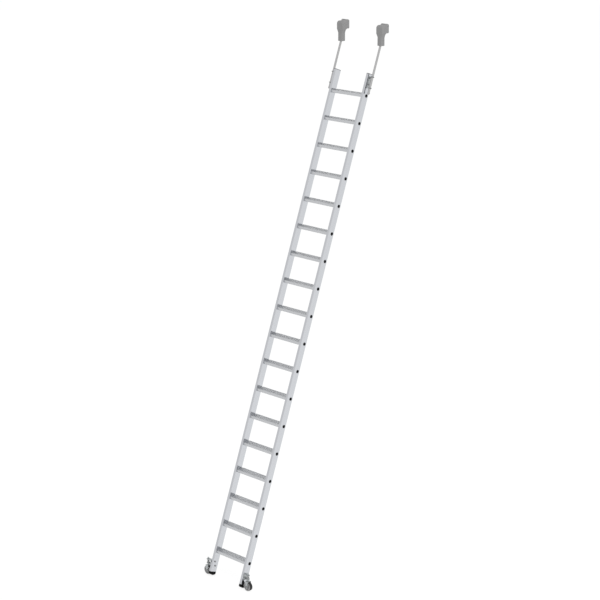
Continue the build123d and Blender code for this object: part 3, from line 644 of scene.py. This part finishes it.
# %% [markdown]
# The castor's bolts go through the stile from outside, each with a nut on the inner face, and the
# axle is one more bolt with its nut. They could be placed by hand, but their places are read from
# the boxes of the solids that they replace, so that they always fit.

# %% Castor bolts, nuts and axles
flats = 0.013
head = 0.0055
nut = 0.0065
shank = 0.004  # radius
beyond_nut = 0.002
threaded = nut + 2 * beyond_nut
thread_play = 0.00002
bore = shank + thread_play
low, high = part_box("castor_bolts")
plate_face = high[0] - head
inner_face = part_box("castor_nuts")[1][0]
bolt_length = plate_face - inner_face + nut + beyond_nut
bolt_y = (low[1] + high[1]) / 2
back, right = (0.0, 1.0, 0.0), (1.0, 0.0, 0.0)
bolt = bolt_rings(flats, head, shank, bolt_length, threaded)
hex_nut = nut_rings(flats, nut, bore)
bolts, nuts = [], []
for hand in sides.values():
    out, into = (hand, 0.0, 0.0), (-hand, 0.0, 0.0)
    for height in (low[2] + flats / 2, high[2] - flats / 2):
        outside, inside = (hand * plate_face, bolt_y, height), (hand * inner_face, bolt_y, height)
        bolts.append((stand(bolt, outside, back, out), False))
        nuts.append((stand(hex_nut, inside, back, into), True))
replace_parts(grid_object("castor_bolt_set", bolts, "zinc_fastener", "ladder_frame"), "castor_bolts")
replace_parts(grid_object("castor_nut_set", nuts, "zinc_fastener", "ladder_frame"), "castor_nuts")
for side in sides:
    low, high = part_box(f"{side}_castor_axle")
    axle_x, axle_z = (low[0] + high[0]) / 2, (low[2] + high[2]) / 2
    front, end = low[1] + head, high[1] - beyond_nut - nut
    axle = bolt_rings(flats, head, shank, high[1] - front, threaded)
    grids = [
        (stand(axle, (axle_x, front, axle_z), right, (0.0, -1.0, 0.0)), False),
        (stand(hex_nut, (axle_x, end, axle_z), right, back), True),
    ]
    made = grid_object(f"{side}_axle_bolt", grids, "zinc_fastener", f"{side}_castor")
    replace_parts(made, f"{side}_castor_axle")
print("castor bolts", len(bolts), "nuts", len(nuts), "axles", len(sides))

# %% [markdown]
# The guide brackets hang on two bolts each, which screw into blind nuts inside the stile. They
# sit in the leaning frame, whose boxes are too wide to place them by, so the points of the solids
# are measured square to the stile and along it.

# %% Guide bolts
inward = np.array([0.0, cos(lean), -sin(lean)])
along = np.array([0.0, sin(lean), cos(lean)])
wall = 0.002  # of the stile
bracket = 0.003  # thickness
blind_nut = 0.012  # length
blind_nut_radius = 0.006
mesh = frame["nodes"]["guide_bolts"].data
places = np.empty(3 * len(mesh.vertices), np.float32)
mesh.vertices.foreach_get("co", places)
places = places.reshape(-1, 3)
setbacks, levels = places @ inward, places @ along
setback = (setbacks.min() + setbacks.max()) / 2
guide_face = places[:, 0].max() - head
bolt = bolt_rings(flats, head, shank, bracket + wall + blind_nut, blind_nut)
sleeve = rings([blind_nut_radius, blind_nut_radius, bore, bore], [0.0, blind_nut, blind_nut, 0.0])
grids = []
for hand in sides.values():
    for level in (levels.min() + flats / 2, levels.max() - flats / 2):
        middle = setback * inward + level * along
        face = middle + (hand * guide_face, 0.0, 0.0)
        inside = middle + (hand * (guide_face - bracket - wall), 0.0, 0.0)
        grids.append((stand(bolt, face, inward, (hand, 0.0, 0.0)), False))
        grids.append((stand(sleeve, inside, inward, (-hand, 0.0, 0.0)), True))
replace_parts(grid_object("guide_bolt_set", grids, "zinc_fastener", "ladder_frame"), "guide_bolts")
print("guide bolts and blind nuts:", len(grids), "shapes")

# %% [markdown]
# The castor's lugs are welded to their plate, and the stem and its collar to the fork. A fillet
# weld is a quarter round that fills the corner between two walls, with a ripple for every step of
# the weld pool. A bump map could only paint the ripples, so each bead is a ring carried along the
# corner: an arc between the walls and one point sunk in the root.

# %% Weld beads
ripple = 0.12  # of the bead's size, between the ripples
sag = 0.12  # of the bead's size, in the middle of its face
root_depth = 0.1  # of the bead's size
ripple_rows = 8  # rings for each ripple
face_points = 7  # from one wall to the other
end_power = 10  # the higher, the shorter the rounded ends
end_size = 0.25  # of the bead's size


def bead_points(curve, first_leg, second_leg, size, ripples):
    """A sagging quarter arc between two directions, larger in the middle of each ripple."""
    share = np.linspace(0.0, 1.0, len(curve))[:, None, None]
    swell = size * (1.0 - ripple + ripple * np.abs(np.sin(np.pi * ripples * share)))
    angle = np.linspace(0.0, np.pi / 2, face_points)[None, :, None]
    arc = np.cos(angle) * first_leg[:, None] + np.sin(angle) * second_leg[:, None]
    face = curve[:, None] + swell * (1.0 - sag * np.sin(2.0 * angle) ** 2) * arc
    root = curve - root_depth * size * (first_leg + second_leg)
    return np.concatenate([face, root[:, None]], axis=1)


def straight_bead(middle, first_leg, second_leg, length, size, ripples=16):
    """A bead along the corner of two walls, drawn in to small rounded ends."""
    first_leg, second_leg = np.array(first_leg), np.array(second_leg)
    share = np.linspace(-1.0, 1.0, ripple_rows * ripples + 1)[:, None]
    curve = np.array(middle) + share * length / 2 * np.cross(first_leg, second_leg)
    taper = np.maximum(np.sqrt(1.0 - np.abs(share) ** end_power), end_size)
    return bead_points(curve, taper * first_leg, taper * second_leg, size, ripples)


def round_bead(middle, radius, size, ripples=28):
    """A bead round a stem, on the flat that the stem stands on."""
    angle = np.linspace(2.0 * np.pi, 0.0, ripple_rows * ripples, endpoint=False)[:, None]
    outs = np.cos(angle) * np.array([1.0, 0.0, 0.0]) + np.sin(angle) * np.array([0.0, 1.0, 0.0])
    ups = np.zeros_like(outs) + (0.0, 0.0, 1.0)
    return bead_points(np.array(middle) + radius * outs, outs, ups, size, ripples)


lug_bead = 0.0028
stem_bead = 0.0014
bead_length = 0.029
crown_top = 0.090  # of the fork, above the floor
stem = 0.007  # radius
collar = 0.003  # thickness
collar_gap = 0.0002  # between the collar and the lower lug
up, down = (0.0, 0.0, 1.0), (0.0, 0.0, -1.0)
for side, hand in sides.items():
    low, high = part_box(f"{side}_castor_spring")
    stem_x = (low[0] + high[0]) / 2
    collar_top = low[2] - spring_gap
    lower_lug = collar_top - collar - collar_gap
    upper_lug = high[2] + spring_gap
    out = (hand, 0.0, 0.0)
    grids = []
    for height, way in ((lower_lug, up), (upper_lug, down)):
        corner = (hand * plate_face, 0.0, height)
        grids.append((straight_bead(corner, out, way, bead_length, lug_bead), False))
    grid_object(f"{side}_lug_welds", grids, "galvanised_steel", "ladder_frame")
    feet = ((stem_x, 0.0, crown_top), (stem_x, 0.0, collar_top))
    grids = [(round_bead(middle, stem, stem_bead), True) for middle in feet]
    grid_object(f"{side}_stem_welds", grids, "galvanised_steel", f"{side}_castor")
print("weld beads: two along the lugs and two round the stem of each castor")

# %% [markdown]
# The floor is plain and white. Part of its brightness is real light, which the ladder's shadow
# takes away, and the rest is a glow. The glow is a little stronger for the camera and in
# reflections, so that the background stays white there, and weaker for the light that it throws
# back on the ladder. A backdrop could be bent up behind the ladder, but a wide flat floor meets
# the white world unseen.


# %% Floor
def seen_directly(tree):
    """One for camera, glossy and transmission rays, zero for light that falls on surfaces."""
    path = add_node(tree, "LightPath").outputs
    seen = arithmetic(tree, "MAXIMUM", path["Is Camera Ray"], path["Is Glossy Ray"])
    return arithmetic(tree, "MAXIMUM", seen, path["Is Transmission Ray"])


reach = 150.0
floor_grey = 0.25
thrown_glow, seen_glow = 0.45, 0.83
corners = [(-reach, -reach, 0.0), (reach, -reach, 0.0), (reach, reach, 0.0), (-reach, reach, 0.0)]
floor_mesh = bpy.data.meshes.new("floor")
floor_mesh.from_pydata(corners, [], [(0, 1, 2, 3)])
floor = bpy.data.objects.new("floor", floor_mesh)
scene.collection.objects.link(floor)
floor_material, tree, shader = new_finish("floor_white", specular=0.0)
shader.inputs["Base Color"].default_value = (*(floor_grey,) * 3, 1.0)
shader.inputs["Roughness"].default_value = 1.0
shader.inputs["Emission Color"].default_value = (1.0, 1.0, 1.0, 1.0)
glow = spread(tree, seen_directly(tree), thrown_glow, seen_glow)
tree.links.new(glow, shader.inputs["Emission Strength"])
floor_mesh.materials.append(floor_material)
print("floor reaches", reach, "m each way")

# %% [markdown]
# A white room lights the ladder evenly, and one large soft lamp at the front right gives the
# plastic and the rubber a lighter side. The room could be a box of lamps, but a white world does
# the same with less noise. The lamp is left out of reflections, which show the white room
# instead.

# %% World and key light
thrown_light, seen_light = 0.72, 1.0
world = bpy.data.worlds.new("white_room")
world.use_nodes = True
scene.world = world
tree = world.node_tree
background = tree.nodes["Background"]
background.inputs["Color"].default_value = (1.0, 1.0, 1.0, 1.0)
strength = spread(tree, seen_directly(tree), thrown_light, seen_light)
tree.links.new(strength, background.inputs["Strength"])

key_data = bpy.data.lights.new("key", "AREA")
key_data.shape = "DISK"
key_data.size = 6.0
key_data.energy = 420.0
key = bpy.data.objects.new("key", key_data)
key.location = (9.0, -3.0, 9.0)
key.rotation_euler = (radians(38.0), radians(12.0), radians(68.0))
key.visible_glossy = False
scene.collection.objects.link(key)
print("white room and key light set")
